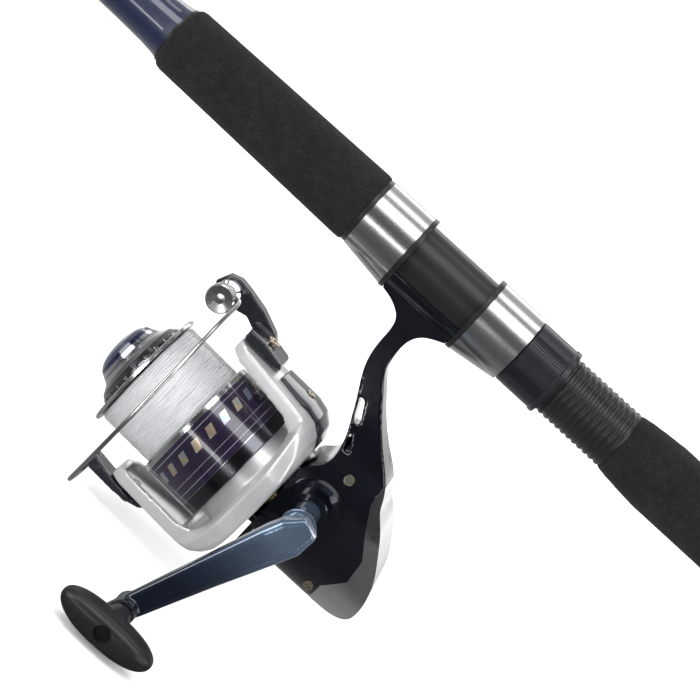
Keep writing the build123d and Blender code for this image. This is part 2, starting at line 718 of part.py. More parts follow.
def make_bail_wire():
    """Round wire from the end cap, out past the spool and back to the lower lever."""
    path = Spline(
        (57.5, 9.0, 48.4), (54.4, 10.6, 49.9), (52.9, 18.0, 48.2), (52.3, 33.0, 41.8),
        (51.2, 49.5, 25.0), (50.8, 57.0, 1.0), (51.3, 50.5, -24.0), (52.3, 34.0, -39.5),
        (52.9, 19.0, -45.8), (53.0, 7.0, -47.9), (53.0, 1.2, -46.9), (53.0, 0.0, -45.0),
    )
    section = Plane(path @ 0, z_dir=path % 0) * Circle(0.85)
    wire = sweep(section, path)
    pin = between((53.0, 0, -45.3), (53.0, 0, -39.5), 0.78)
    return on_reel_axis(wire + pin)


def make_line_roller():
    roller = turned([
        (-3.0, 1.6), (-3.0, 4.9), (-2.2, 5.2), (-1.4, 4.9), (-0.4, 3.7), (2.6, 3.5),
        (4.6, 4.9), (5.4, 5.2), (6.1, 4.9), (6.1, 1.6),
    ])
    roller = Pos(roller_u, 0, roller_z) * Rot(0, 0, 90) * roller
    return on_reel_axis(roller)


def make_roller_screw():
    screw = along_y(roller_u, roller_z, -9.4, 6.9, 1.49)
    head = along_y(roller_u, roller_z, -10.2, -8.61, 3.0)
    slot = block(roller_u - 2.4, roller_u + 2.4, -11, -9.7, roller_z - 0.4, roller_z + 0.4)
    return on_reel_axis(screw + head - slot)


def make_arm_screw():
    """Small screw that holds the arm cover."""
    screw = between((10.0, 0, rotor_r + 0.05), (10.0, 0, 40.9), 1.7)
    cross = block(8.8, 11.2, -0.25, 0.25, 40.6, 41.2) + block(9.75, 10.25, -1.2, 1.2, 40.6, 41.2)
    return on_reel_axis(screw - cross)


# ---- spool, shaft and drag ----

def make_spool():
    spool = turned([
        (skirt_rear, skirt_r - 2.0), (skirt_rear, skirt_r - 0.3), (skirt_rear + 0.4, skirt_r),
        (15.0, skirt_r), (15.0, skirt_r - 0.4), (33.4, skirt_r - 0.4), (33.4, skirt_r),
        (35.2, skirt_r), (skirt_front, skirt_r - 0.6), (skirt_front, 16.0), (60.6, 16.0),
        (61.2, 22.5), (61.6, lip_r - 0.3), (62.3, lip_r), (63.0, lip_r - 0.5), (63.2, 22.8),
        (62.9, 15.6), (48.0, 15.6), (48.0, 2.05), (31.5, 2.05), (31.5, 9.0), (33.5, 12.0),
        (33.6, skirt_r - 2.6), (32.8, skirt_r - 2.0),
    ])
    return on_reel_axis(spool)


def make_spool_band():
    return on_reel_axis(ring(15.05, 33.35, skirt_r - 0.02, skirt_r - 0.38))


def make_line_fill():
    return on_reel_axis(turned([
        (skirt_front + 0.05, 16.05), (skirt_front + 0.05, line_r - 0.5), (skirt_front + 0.8, line_r),
        (60.2, line_r), (60.9, line_r - 0.8), (60.95, 22.3), (60.5, 16.05),
    ]))


def make_drag_washers():
    stack = []
    for layer in range(5):
        start = 48.05 + layer * 1.5
        stack.append(on_reel_axis(ring(start, start + 1.4, 15.4, 2.05)))
    return Compound(children=stack)


def make_main_shaft():
    """Spool shaft, with the shoulder under the spool and the thread end for the drag knob."""
    shaft = rod_x(-52.0, 73.0, main_shaft_r)
    shoulder = ring(29.6, 31.4, 5.0, main_shaft_r)
    return on_reel_axis(shaft + shoulder)


def make_slider():
    """Block on the rear of the main shaft that rides along the cross-wind shaft."""
    slider = block(-52.0, -45.5, -3.6, 4.6, worm_z - 3.2, 4.0)
    slider = slider - rod_x(-60, -40, main_shaft_r)
    slider = slider - Pos(0, 0, worm_z) * rod_x(-60, -40, 2.55)
    return on_reel_axis(slider)


def make_worm_shaft():
    """Cross-wind shaft with its gear beside the pinion."""
    profile = [(-57.2, 0), (-57.2, 1.5), (-54.5, 1.5), (-54.5, 2.5)]
    start = -53.6
    for groove in range(10):
        profile.append((start, 2.5))
        profile.append((start + 0.7, 1.9))
        profile.append((start + 1.4, 2.5))
        start = start + 2.9
    profile = profile + [(-15.1, 2.5), (-15.1, 1.5), (-12.0, 1.5), (-12.0, 0)]
    shaft = turned(profile)
    gear = spur(-20.5, -16.0, 10, 3.9, 2.9)
    return on_reel_axis(Pos(0, 0, worm_z) * (shaft + gear))


def make_drag_knob():
    knob = turned([
        (64.0, 2.05), (64.0, 14.9), (63.6, 18.5), (63.6, 20.0), (64.2, 20.3), (66.6, 18.6),
        (68.6, 15.2), (70.0, 14.2), (73.6, 12.4), (75.2, 10.2), (76.2, 7.5), (76.8, 4.0), (76.9, 0),
        (73.1, 0), (73.1, 2.05),
    ])
    notches = []
    for notch in range(24):
        cut = Pos(65.6, 0, 21.2) * Rot(0, 90, 0) * Cylinder(1.5, 5)
        notches.append(Rot(notch * 15, 0, 0) * cut)
    return on_reel_axis(knob - notches)


def make_drag_sleeve():
    """Bush of the drag knob, down to the washers."""
    return on_reel_axis(ring(55.6, 63.98, 9.0, 2.05))


os.makedirs("parts", exist_ok=True)
frames = [make_guide_frame(*guide) for guide in guide_list]
rings = [make_guide_ring(*guide) for guide in guide_list]
tip_ring = Pos(tip_end_x, 0, -7.5) * Rot(0, -12, 0) * ring(-0.8, 0.8, 3.9, 2.9)
hood = make_hood()
liner = make_hood_liner()

nodes = {
    "butt_blank": make_butt_blank(),
    "tip_blank": make_tip_blank(),
    "ferrule_wrap": make_ferrule_wrap(),
    "rear_grip": make_rear_grip(),
    "butt_cap": make_butt_cap(),
    "fore_grip": make_fore_grip(),
    "fore_grip_ring": ring(37.75, foregrip_rear_x - 0.02, 14.4, seat_r + 0.01),
    "winding_ring": ring(foregrip_front_x, foregrip_front_x + 0.9, 12.2, blank_r),
    "fore_winding": make_fore_winding(),
    "seat_tube": make_seat_tube(),
    "front_hood": hood,
    "front_hood_liner": liner,
    "rear_hood": mirror(hood, Plane.YZ),
    "rear_hood_liner": mirror(liner, Plane.YZ),
    "lock_nut": make_lock_nut(),
    "guide_rings_butt": rings[0],
    "guide_rings_tip": Compound(children=rings[1:] + [tip_ring]),
    "guide_wraps_butt": make_wraps(guide_list[:1], frames[:1]),
    "guide_wraps_tip": make_wraps(guide_list[1:], frames[1:]),
    "tip_top": make_tip_top(),
    "reel_body": make_reel_body(),
    "side_cover": make_side_cover(),
    "rear_cover": make_rear_cover(),
    "cover_screws": make_cover_screws(),
    "handle_cap": make_handle_cap(),
    "shaft_bearings": make_shaft_bearings(),
    "pinion_bearing": make_pinion_bearing(),
    "roller_clutch": make_roller_clutch(),
    "reverse_lever": make_reverse_lever(),
    "drive_gear": make_drive_gear(),
    "handle_arm": make_handle_arm(),
    "knob_post": make_knob_post(),
    "handle_knob": make_handle_knob(),
    "pinion": make_pinion(),
    "rotor": make_rotor(),
    "arm_cover": make_arm_cover(),
    "arm_screw": make_arm_screw(),
    "rotor_nut": make_rotor_nut(),
    "bail_spring": make_bail_spring(),
    "bail_arm": make_bail_arm(),
    "bail_lever": make_bail_lever(),
    "bail_screws": make_bail_screws(),
    "bail_cap": make_bail_cap(),
    "bail_wire": make_bail_wire(),
    "line_roller": make_line_roller(),
    "roller_screw": make_roller_screw(),
    "spool": make_spool(),
    "spool_band": make_spool_band(),
    "line_fill": make_line_fill(),
    "drag_washers": make_drag_washers(),
    "main_shaft": make_main_shaft(),
    "slider": make_slider(),
    "worm_shaft": make_worm_shaft(),
    "drag_knob": make_drag_knob(),
    "drag_sleeve": make_drag_sleeve(),
}
for number, frame in enumerate(frames):
    nodes["guide_frame_" + str(number + 1)] = frame

for name, shape in nodes.items():
    export_step(shape, "parts/" + name + ".step")
print(len(nodes), "nodes")
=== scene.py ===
import bpy
import bmesh
import math
from mathutils import Matrix, Vector, noise


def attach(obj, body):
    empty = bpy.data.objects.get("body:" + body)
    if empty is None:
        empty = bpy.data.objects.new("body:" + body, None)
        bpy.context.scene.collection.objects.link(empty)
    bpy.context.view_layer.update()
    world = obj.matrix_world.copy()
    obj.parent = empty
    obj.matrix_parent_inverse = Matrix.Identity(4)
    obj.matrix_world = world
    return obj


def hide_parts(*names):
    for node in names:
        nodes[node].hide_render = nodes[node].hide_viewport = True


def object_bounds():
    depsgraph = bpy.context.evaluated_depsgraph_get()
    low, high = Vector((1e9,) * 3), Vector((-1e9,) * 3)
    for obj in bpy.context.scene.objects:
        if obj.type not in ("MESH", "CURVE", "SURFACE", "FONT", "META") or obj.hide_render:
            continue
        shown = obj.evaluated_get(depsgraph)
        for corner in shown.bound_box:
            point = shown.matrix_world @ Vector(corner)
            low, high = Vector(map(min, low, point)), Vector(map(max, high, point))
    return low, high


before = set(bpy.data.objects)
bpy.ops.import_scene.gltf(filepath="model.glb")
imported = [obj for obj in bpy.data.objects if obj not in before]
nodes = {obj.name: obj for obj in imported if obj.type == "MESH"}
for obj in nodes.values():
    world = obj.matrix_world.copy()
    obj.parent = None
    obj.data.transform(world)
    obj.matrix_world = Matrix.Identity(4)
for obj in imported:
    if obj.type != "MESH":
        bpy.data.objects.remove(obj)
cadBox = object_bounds()
print("frame loaded with", len(nodes), "nodes")

fullTurn = 2 * math.pi


# a new object in the scene, of this mesh, lamp or camera
def placed(name, data):
    made = bpy.data.objects.new(name, data)
    bpy.context.scene.collection.objects.link(made)
    return made


# the camera: places in metres, lens and sensor in millimetres
view = {
    "target": Vector((0.0087, 0.0, -0.0446)),
    "lift": math.radians(15.5),      # how far the camera looks down
    "roll": math.radians(42.5),      # the rod runs to the upper left
    "distance": 0.70,
    "lens": 94.7, "sensor": 36, "farthest": 60,
}


def addCamera():
    level = Vector((-1, 0, 0))
    upright = Vector((0, -math.sin(view["lift"]), math.cos(view["lift"])))
    back = Vector((0, math.cos(view["lift"]), math.sin(view["lift"])))
    across = level * math.cos(view["roll"]) + upright * math.sin(view["roll"])
    above = upright * math.cos(view["roll"]) - level * math.sin(view["roll"])
    data = bpy.data.cameras.new("studioCamera")
    data.lens = view["lens"]
    data.sensor_width = view["sensor"]
    data.clip_end = view["farthest"]
    camera = placed("studioCamera", data)
    turn = Matrix((across, above, back)).transposed().to_4x4()
    camera.matrix_world = Matrix.Translation(view["target"] + back * view["distance"]) @ turn
    bpy.context.scene.camera = camera


addCamera()
bpy.context.scene.view_settings.view_transform = "Standard"
print("camera placed")


# a wrapped socket: sums and products on it add their Math nodes
class Signal:
    def __init__(self, tree, socket):
        self.tree = tree
        self.socket = socket

    def math(self, operation, *values):
        made = self.tree.nodes.new("ShaderNodeMath")
        made.operation = operation
        for place, value in enumerate(values):
            if isinstance(value, Signal):
                self.tree.links.new(value.socket, made.inputs[place])
            else:
                made.inputs[place].default_value = value
        return Signal(self.tree, made.outputs[0])

    def __add__(self, other):
        return self.math("ADD", self, other)

    def __radd__(self, other):
        return self.math("ADD", other, self)

    def __sub__(self, other):
        return self.math("SUBTRACT", self, other)

    def __rsub__(self, other):
        return self.math("SUBTRACT", other, self)

    def __mul__(self, other):
        return self.math("MULTIPLY", self, other)

    def __rmul__(self, other):
        return self.math("MULTIPLY", other, self)

    def __gt__(self, other):
        return self.math("GREATER_THAN", self, other)

    def __lt__(self, other):
        return self.math("LESS_THAN", self, other)

    # 0 below low, 1 above high, straight between
    def rise(self, low, high):
        span = (self - low) * (1 / (high - low))
        return span.math("MINIMUM", span.math("MAXIMUM", span, 0.0), 1.0)


# a node tree: every node but the Math ones comes from its node method
class Wiring:
    def __init__(self, tree):
        self.tree = tree
        tree.nodes.clear()

    def node(self, kind, settings=None, sockets=None, output=0):
        made = self.tree.nodes.new(kind)
        for key, value in (settings or {}).items():
            if key == "stops":
                self.setStops(made.color_ramp.elements, value)
            else:
                setattr(made, key, value)
        for key, value in (sockets or {}).items():
            self.feed(made.inputs[key], value)
        return Signal(self.tree, made.outputs[output]) if made.outputs else made

    # the ramp comes with two stops, which become the first and the last
    def setStops(self, elements, stops):
        for element, (position, tone) in zip(elements, (stops[0], stops[-1])):
            element.position = position
            element.color = (*tone, 1)
        for position, tone in stops[1:-1]:
            elements.new(position).color = (*tone, 1)

    def feed(self, socket, value):
        if isinstance(value, Signal):
            self.tree.links.new(value.socket, socket)
        elif hasattr(value, "__len__") and len(value) == 3 and socket.type == "RGBA":
            socket.default_value = (*value, 1)
        else:
            socket.default_value = value


# a material with one main shader, and what its pattern is laid out by
class Finish(Wiring):
    def __init__(self, name, fixed=None):
        self.material = bpy.data.materials.new(name)
        self.material.use_nodes = True
        super().__init__(self.material.node_tree)
        self.surface = self.node("ShaderNodeBsdfPrincipled", None, fixed)
        self.end = self.node("ShaderNodeOutputMaterial", None, {"Surface": self.surface})
        self.place = self.node("ShaderNodeTexCoord", output="Object")

    def set(self, sockets):
        for key, value in sockets.items():
            self.feed(self.surface.socket.node.inputs[key], value)

    # noise of so many cells per metre, stretched along the axes
    def grain(self, scale, detail=3, stretch=(1, 1, 1), roughness=0.55):
        spread = self.node("ShaderNodeMapping", None, {"Vector": self.place, "Scale": stretch})
        return self.node("ShaderNodeTexNoise", None, {
            "Vector": spread, "Scale": scale, "Detail": detail, "Roughness": roughness})

    def mix(self, mask, first, second):
        return self.node("ShaderNodeMix", {"data_type": "RGBA"}, {0: mask, 6: first, 7: second}, 2)

    def ramp(self, value, stops):
        return self.node("ShaderNodeValToRGB", {"stops": stops}, {"Fac": value})

    def bump(self, height, distance, strength=1.0):
        self.set({"Normal": self.node("ShaderNodeBump", None, {
            "Height": height, "Distance": distance, "Strength": strength})})

    def axes(self):
        split = self.node("ShaderNodeSeparateXYZ", None, {0: self.place})
        return [Signal(self.tree, out) for out in split.socket.node.outputs]

    # the place along the reel's own axis, to its side and above it, in millimetres
    def reelAxes(self):
        x, y, z = self.axes()
        lean = reelAxis["tilt"]
        lifted = z * 1000 - reelAxis["drop"]
        along = x * (1000 * math.cos(lean)) + lifted * math.sin(lean)
        upward = lifted * math.cos(lean) - x * (1000 * math.sin(lean))
        return along, y * 1000, upward


reelAxis = {"tilt": math.radians(2.3), "drop": -108.8}      # the rod's axis is at zero


def reelPoint(along, side, upward):
    lean = reelAxis["tilt"]
    return Vector((along * math.cos(lean) - upward * math.sin(lean), side,
                   reelAxis["drop"] + along * math.sin(lean) + upward * math.cos(lean))) * 0.001


# a wave with so many crests in each unit of the value
def ripple(value, crests):
    return value.math("SINE", value * (fullTurn * crests))


blankLook = {"dark": (0.26, 0.265, 0.285), "light": (0.52, 0.525, 0.55), "wrapMarks": 260}


def rodBlank():
    made = Finish("silverBlank", {"Metallic": 0.55, "Coat Weight": 1.0, "Coat Roughness": 0.04})
    cloth = made.grain(900, 2, (0.25, 1, 1))
    fleck = made.grain(5200, 2)
    made.set({
        "Base Color": made.mix(cloth * 0.7 + fleck * 0.3, blankLook["dark"], blankLook["light"]),
        "Roughness": fleck * 0.18 + 0.24})
    made.bump(ripple(made.axes()[0], blankLook["wrapMarks"]) * 0.2 + cloth, 0.00004)
    return made.material


windingLook = {"dark": (0.0012, 0.0025, 0.014), "light": (0.0035, 0.009, 0.050), "threads": 3800}


def threadWinding():
    made = Finish("navyWinding", {"Coat Weight": 1.0, "Coat Roughness": 0.02, "Roughness": 0.35})
    thread = ripple(made.axes()[0], windingLook["threads"])
    tone = made.grain(420, 3, (4, 1, 1)) * 0.6 + thread * 0.2 + 0.1
    made.set({"Base Color": made.mix(tone, windingLook["dark"], windingLook["light"])})
    made.bump(thread, 0.00002, 0.5)
    return made.material


foamLook = {
    "cells": 2300.0,
    "tones": ((0.3, (0.0022, 0.0020, 0.0022)), (0.5, (0.0058, 0.0054, 0.0057)), (0.75, (0.020, 0.018, 0.019))),
}


def foamGrip():
    made = Finish("gripFoam", {"Sheen Weight": 0.02, "Sheen Roughness": 0.6, "Specular IOR Level": 0.13})
    cells = made.node("ShaderNodeTexVoronoi", None, {"Vector": made.place, "Scale": foamLook["cells"]})
    dust = made.grain(5200, 3)
    cloud = made.grain(70, 3)
    mottle = made.grain(380, 4)
    tone = cells * 0.25 + dust * 0.3 + cloud * 0.2 + mottle * 0.25
    made.set({"Base Color": made.ramp(tone, foamLook["tones"]), "Roughness": dust * 0.15 + 0.78})
    made.bump(cells * 0.5 + dust * 0.8 + mottle * 0.5, 0.00018, 0.85)
    return made.material


# pebble is the height of the grain, and grains are counted in a metre
mouldings = {
    "buttRubber": {"tone": (0.020, 0.020, 0.021), "rough": 0.62, "pebble": 0.9, "grains": 1500},
    "seatPlastic": {"tone": (0.008, 0.008, 0.008), "rough": 0.36, "pebble": 0.5, "grains": 2600},
    "nutPlastic": {"tone": (0.007, 0.008, 0.011), "rough": 0.34, "pebble": 0.4, "grains": 2200},
    "knobRubber": {"tone": (0.007, 0.007, 0.0075), "rough": 0.36, "pebble": 0.5, "grains": 2400},
    "glossBlack": {"tone": (0.007, 0.008, 0.012), "rough": 0.22, "pebble": 0.15, "grains": 1800, "coat": 0.8},
}


def mouldedBlack(name, tone, rough, pebble, grains, coat=0.0):
    made = Finish(name, {"Coat Weight": coat, "Coat Roughness": 0.06, "Specular IOR Level": 0.34})
    fine = made.grain(grains, 3)
    wide = made.grain(90, 3)
    dark = tuple(c * 0.7 for c in tone)
    light = tuple(c * 1.35 for c in tone)
    made.set({
        "Base Color": made.mix(fine * 0.5 + wide * 0.5, dark, light),
        "Roughness": fine * 0.12 + wide * 0.08 + (rough - 0.1)})
    made.bump(fine, 0.00003, pebble)
    return made.material


# the marks are stretched round or along the rod; their depth is in metres
metals = {
    "hoodSteel": {"tone": (0.60, 0.60, 0.60), "rough": 0.26, "stretch": (24, 1, 1), "lines": 600,
                  "mark": 0.000006, "blotch": 0.02},
    "chrome": {"tone": (0.78, 0.78, 0.80), "rough": 0.13, "lines": 300, "mark": 0.000004, "blotch": 0.03},
    "turnedSteel": {"tone": (0.58, 0.58, 0.59), "rough": 0.24, "stretch": (1, 9, 1), "lines": 900},
    "wireSteel": {"tone": (0.50, 0.50, 0.50), "rough": 0.24, "lines": 900},
    "darkSteel": {"tone": (0.06, 0.06, 0.062), "rough": 0.35, "lines": 900},
    "screwBrass": {"tone": (0.56, 0.50, 0.38), "rough": 0.26, "lines": 1200},
    "castGear": {"tone": (0.50, 0.50, 0.51), "rough": 0.42, "lines": 1500, "mark": 0.00003},
    "pinionBrass": {"tone": (0.66, 0.50, 0.26), "rough": 0.28, "stretch": (8, 1, 1), "lines": 900},
}


def drawnMetal(name, tone, rough, lines, stretch=(1, 1, 1), mark=0.00001, blotch=0.06):
    made = Finish(name, {"Metallic": 1.0})
    drawn = made.grain(lines, 4, stretch, 0.7)
    smudge = made.grain(55, 3)
    dark = tuple(c * 0.86 for c in tone)
    light = tuple(min(1.0, c * 1.08) for c in tone)
    made.set({
        "Base Color": made.mix(drawn, dark, light),
        "Roughness": drawn * 0.14 + smudge * blotch + (rough - 0.1)})
    made.bump(drawn, mark, 0.7)
    return made.material


lacquerLook = {
    "dark": (0.0007, 0.0008, 0.0024), "light": (0.0024, 0.0027, 0.0095), "rough": 0.22,
    "flecks": 6500.0,
    "armDeep": ((0.003, 0.005, 0.013), (0.012, 0.019, 0.042)),
    # the arm's painted highlight: a lighter blue-grey laid on the arm near the hub
    "armHighlight": ((0.055, 0.085, 0.140), (0.160, 0.225, 0.310)),
    "armHighlightFade": (98, 138),            # millimetres under the rod's axis, over which the painted highlight fades out
}


# lacquer over a pearl base: the base takes the colour, the coat the reflections
def bodyLacquer():
    made = Finish("bodyLacquer", {"Coat Weight": 1.0, "Coat Roughness": 0.025, "Metallic": 0.45})
    fleck = made.node("ShaderNodeTexVoronoi", None, {"Vector": made.place, "Scale": lacquerLook["flecks"]})
    cloud = made.grain(60, 2)
    made.set({
        "Base Color": made.mix(fleck * 0.35 + cloud * 0.65, lacquerLook["dark"], lacquerLook["light"]),
        "Roughness": fleck * 0.1 + cloud * 0.08 + (lacquerLook["rough"] - 0.08)})
    made.bump(made.grain(260, 2), 0.00002, 0.25)
    return made.material


# the crank arm's lacquer, with a painted highlight that turns it lighter blue-grey towards the hub
def crankLacquer():
    made = Finish("crankLacquer", {"Coat Weight": 1.0, "Coat Roughness": 0.03, "Metallic": 0.75})
    fleck = made.node("ShaderNodeTexVoronoi", None, {"Vector": made.place, "Scale": lacquerLook["flecks"]})
    mottle = made.grain(45, 2) * 0.6 + fleck * 0.4
    highlightNearHub = 1 - (made.axes()[2] * -1000).rise(*lacquerLook["armHighlightFade"])      # painted highlight: the arm turns lighter blue-grey towards the hub
    deep = made.mix(mottle, *lacquerLook["armDeep"])
    # thin holds the painted highlight tone, mixed in near the hub
    thin = made.mix(mottle, *lacquerLook["armHighlight"])
    made.set({"Base Color": made.mix(highlightNearHub * highlightNearHub, deep, thin), "Roughness": fleck * 0.1 + 0.2})
    made.bump(made.grain(260, 2), 0.00002, 0.25)
    return made.material


rotorLook = {"dark": (0.42, 0.425, 0.435), "light": (0.64, 0.64, 0.65), "rough": 0.24}


def rotorPaint():
    made = Finish("silverRotor", {"Metallic": 0.6, "Coat Weight": 0.35, "Coat Roughness": 0.12})
    fleck = made.grain(7000, 2)
    cloud = made.grain(120, 3)
    made.set({
        "Base Color": made.mix(fleck * 0.6 + cloud * 0.4, rotorLook["dark"], rotorLook["light"]),
        "Roughness": fleck * 0.14 + cloud * 0.06 + rotorLook["rough"]})
    made.bump(fleck, 0.000012, 0.6)
    return made.material


nylonLook = {
    "strands": 2.9,                  # in each millimetre
    "tones": ((0.2, (0.36, 0.37, 0.385)), (0.5, (0.49, 0.495, 0.51)), (0.8, (0.64, 0.645, 0.655))),
}


def nylonLine():
    made = Finish("nylonLine", {"Specular IOR Level": 0.7, "Coat Weight": 0.5, "Coat Roughness": 0.12})
    strand = ripple(made.reelAxes()[0], nylonLook["strands"])
    drift = made.grain(160, 3, (6, 1, 1))
    patch = made.grain(45, 3, (2, 1, 1))
    tone = drift * 0.55 + patch * 0.35 + strand * 0.05
    made.set({"Base Color": made.ramp(tone, nylonLook["tones"]), "Roughness": drift * 0.2 + 0.22})
    made.bump(strand + drift * 2.0, 0.00012, 0.8)
    return made.material


# places are millimetres along the reel's axis
bandLook = {
    "radius": 27.0,
    "blocks": (25.0, 29.4), "pitch": 7.5, "filled": (0.30, 0.74), "slant": 0.35,
    "pinstripes": ((31.4, 31.8), (17.2, 17.6), (20.4, 20.7)), "pinTone": (0.22, 0.21, 0.26),
    "foil": ((0.3, (0.30, 0.23, 0.35)), (0.45, (0.22, 0.34, 0.42)),
             (0.58, (0.46, 0.38, 0.24)), (0.7, (0.36, 0.25, 0.30))),
    "dark": (0.004, 0.003, 0.009), "light": (0.020, 0.012, 0.034),
}


def inside(value, limits):
    return (value > limits[0]) * (value < limits[1])


def skirtBand():
    made = Finish("skirtBand", {"Coat Weight": 1.0, "Coat Roughness": 0.03})
    along, side, upward = made.reelAxes()
    turn = upward.math("ARCTAN2", side, upward) * bandLook["radius"]      # millimetres round the skirt
    slant = turn + along * bandLook["slant"]
    beat = slant.math("FRACT", slant * (1 / bandLook["pitch"]))
    blocks = inside(beat, bandLook["filled"]) * inside(along, bandLook["blocks"])
    first, second, third = (inside(along, pin) for pin in bandLook["pinstripes"])
    foil = made.ramp(made.grain(90, 2, (1, 2, 2)), bandLook["foil"])
    base = made.mix(made.grain(70, 3), bandLook["dark"], bandLook["light"])
    lined = made.mix((first + second + third) * 0.5, base, bandLook["pinTone"])
    made.set({
        "Base Color": made.mix(blocks, lined, foil),
        "Metallic": blocks * 0.6 + 0.25,
        "Roughness": blocks * 0.1 + 0.2})
    return made.material


spoolLook = {
    "dark": (0.66, 0.665, 0.68), "light": (0.86, 0.86, 0.87), "plating": (0.10, 0.10, 0.115),
    "platedTo": (14.6, 15.2),        # the rear edge of the skirt is plated black
}


def spoolMetal():
    made = Finish("spoolMetal", {"Metallic": 1.0})
    along = made.reelAxes()[0]
    turned = made.node("ShaderNodeTexNoise", {"noise_dimensions": "1D"}, {"W": along, "Scale": 6.0, "Detail": 4.0})
    bright = made.mix(turned, spoolLook["dark"], spoolLook["light"])
    made.set({
        "Base Color": made.mix(1 - along.rise(*spoolLook["platedTo"]), bright, spoolLook["plating"]),
        "Roughness": turned * 0.12 + 0.1})
    made.bump(turned, 0.00003, 0.5)
    return made.material


# places along the reel's axis, and distances from it, in millimetres
domeLook = {
    "platedTo": 70.0, "trim": (13.2, 14.0), "groove": (66.5, 68.4),
    "dark": (0.003, 0.005, 0.020), "light": (0.008, 0.014, 0.050),
    "above": (0.62, 0.62, 0.64), "below": (0.13, 0.13, 0.14), "inGroove": (0.03, 0.03, 0.035),
}


def dragDome():
    made = Finish("dragDome", {"Coat Weight": 1.0, "Coat Roughness": 0.03})
    along, side, upward = made.reelAxes()
    square = side * side + upward * upward
    across = square.math("SQRT", square)
    plated = 1 - (1 - (along < domeLook["platedTo"])) * (1 - inside(across, domeLook["trim"]))
    cloud = made.grain(90, 2)
    knurl = made.mix(along < domeLook["groove"][0], domeLook["above"], domeLook["below"])
    plate = made.mix(inside(along, domeLook["groove"]), knurl, domeLook["inGroove"])
    lacquered = made.mix(cloud, domeLook["dark"], domeLook["light"])
    made.set({
        "Base Color": made.mix(plated, lacquered, plate),
        "Metallic": plated * 0.75 + 0.25,
        "Roughness": cloud * 0.08 + 0.1})
    return made.material


ceramicLook = {"dark": (0.02, 0.02, 0.024), "light": (0.05, 0.05, 0.056)}
feltLook = {"dark": (0.14, 0.12, 0.10), "light": (0.36, 0.33, 0.28)}


def polishedCeramic():
    made = Finish("ringCeramic", {"Coat Weight": 0.6, "Coat Roughness": 0.03})
    cloud = made.grain(400, 2)
    made.set({
        "Base Color": made.mix(cloud, ceramicLook["dark"], ceramicLook["light"]),
        "Roughness": cloud * 0.1 + 0.1})
    return made.material


def feltWasher():
    made = Finish("feltWasher", {"Sheen Weight": 0.3})
    fibre = made.grain(2400, 4, (1, 3, 1))
    made.set({
        "Base Color": made.mix(fibre, feltLook["dark"], feltLook["light"]),
        "Roughness": fibre * 0.2 + 0.7})
    made.bump(fibre, 0.0001, 0.8)
    return made.material


finishes = {
    "blank": rodBlank(), "winding": threadWinding(), "foam": foamGrip(),
    "bodyLacquer": bodyLacquer(), "armLacquer": crankLacquer(), "rotorPaint": rotorPaint(),
    "line": nylonLine(), "spool": spoolMetal(), "band": skirtBand(), "dome": dragDome(),
    "ceramic": polishedCeramic(), "felt": feltWasher(),
}
for name, look in mouldings.items():
    finishes[name] = mouldedBlack(name, **look)
for name, look in metals.items():
    finishes[name] = drawnMetal(name, **look)
print("finishes made:", len(finishes))

# which CAD nodes wear each finish
wearing = {
    "blank": ("butt_blank", "tip_blank"),
    "winding": ("fore_winding", "ferrule_wrap", "guide_wraps_butt", "guide_wraps_tip"),
    "foam": ("rear_grip", "fore_grip"),
    "buttRubber": ("butt_cap",),
    "seatPlastic": ("seat_tube", "front_hood_liner", "rear_hood_liner", "fore_grip_ring", "winding_ring"),
    "nutPlastic": ("lock_nut",),
    "hoodSteel": ("front_hood", "rear_hood"),
    "chrome": ("rear_cover", "line_roller", "handle_cap", "drag_sleeve"),
    "turnedSteel": ("guide_frame_1", "guide_frame_2", "guide_frame_3", "guide_frame_4", "guide_frame_5",
                    "tip_top", "shaft_bearings", "pinion_bearing", "roller_clutch", "rotor_nut",
                    "bail_spring", "main_shaft", "worm_shaft"),
    "wireSteel": ("bail_wire", "bail_cap", "roller_screw"),
    "ceramic": ("guide_rings_butt", "guide_rings_tip"),
    "bodyLacquer": ("reel_body", "side_cover"),
    "armLacquer": ("handle_arm",),
    "glossBlack": ("reverse_lever", "arm_cover", "bail_arm", "bail_lever"),
    "rotorPaint": ("rotor",),
    "knobRubber": ("handle_knob",),
    "darkSteel": ("knob_post",),
    "screwBrass": ("cover_screws", "arm_screw", "bail_screws"),
    "castGear": ("drive_gear", "slider"),
    "pinionBrass": ("pinion",),
    "line": ("line_fill",),
    "spool": ("spool",),
    "band": ("spool_band",),
    "dome": ("drag_knob",),
    "felt": ("drag_washers",),
}


def dress(piece, finish):
    if not piece.material_slots:
        piece.data.materials.append(finishes[finish])
    for held in piece.material_slots:
        held.material = finishes[finish]


for finish, names in wearing.items():
    for name in names:
        dress(nodes[name], finish)
bare = sorted(set(nodes) - {name for names in wearing.values() for name in names})
print("nodes without a finish:", bare)


# a piece that is shown in place of a CAD node and moves with its body
def newPiece(name, mesh, finish, body, stoodFor):
    piece = placed(name, mesh)
    mesh.materials.clear()
    mesh.materials.append(finishes[finish])
    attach(piece, body)
    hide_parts(stoodFor)
    print(name, "made with", len(mesh.polygons), "faces")


def shadeSmooth(mesh, crease):
    mesh.polygons.foreach_set("use_smooth", [True] * len(mesh.polygons))
    mesh.set_sharp_from_angle(angle=math.radians(crease))


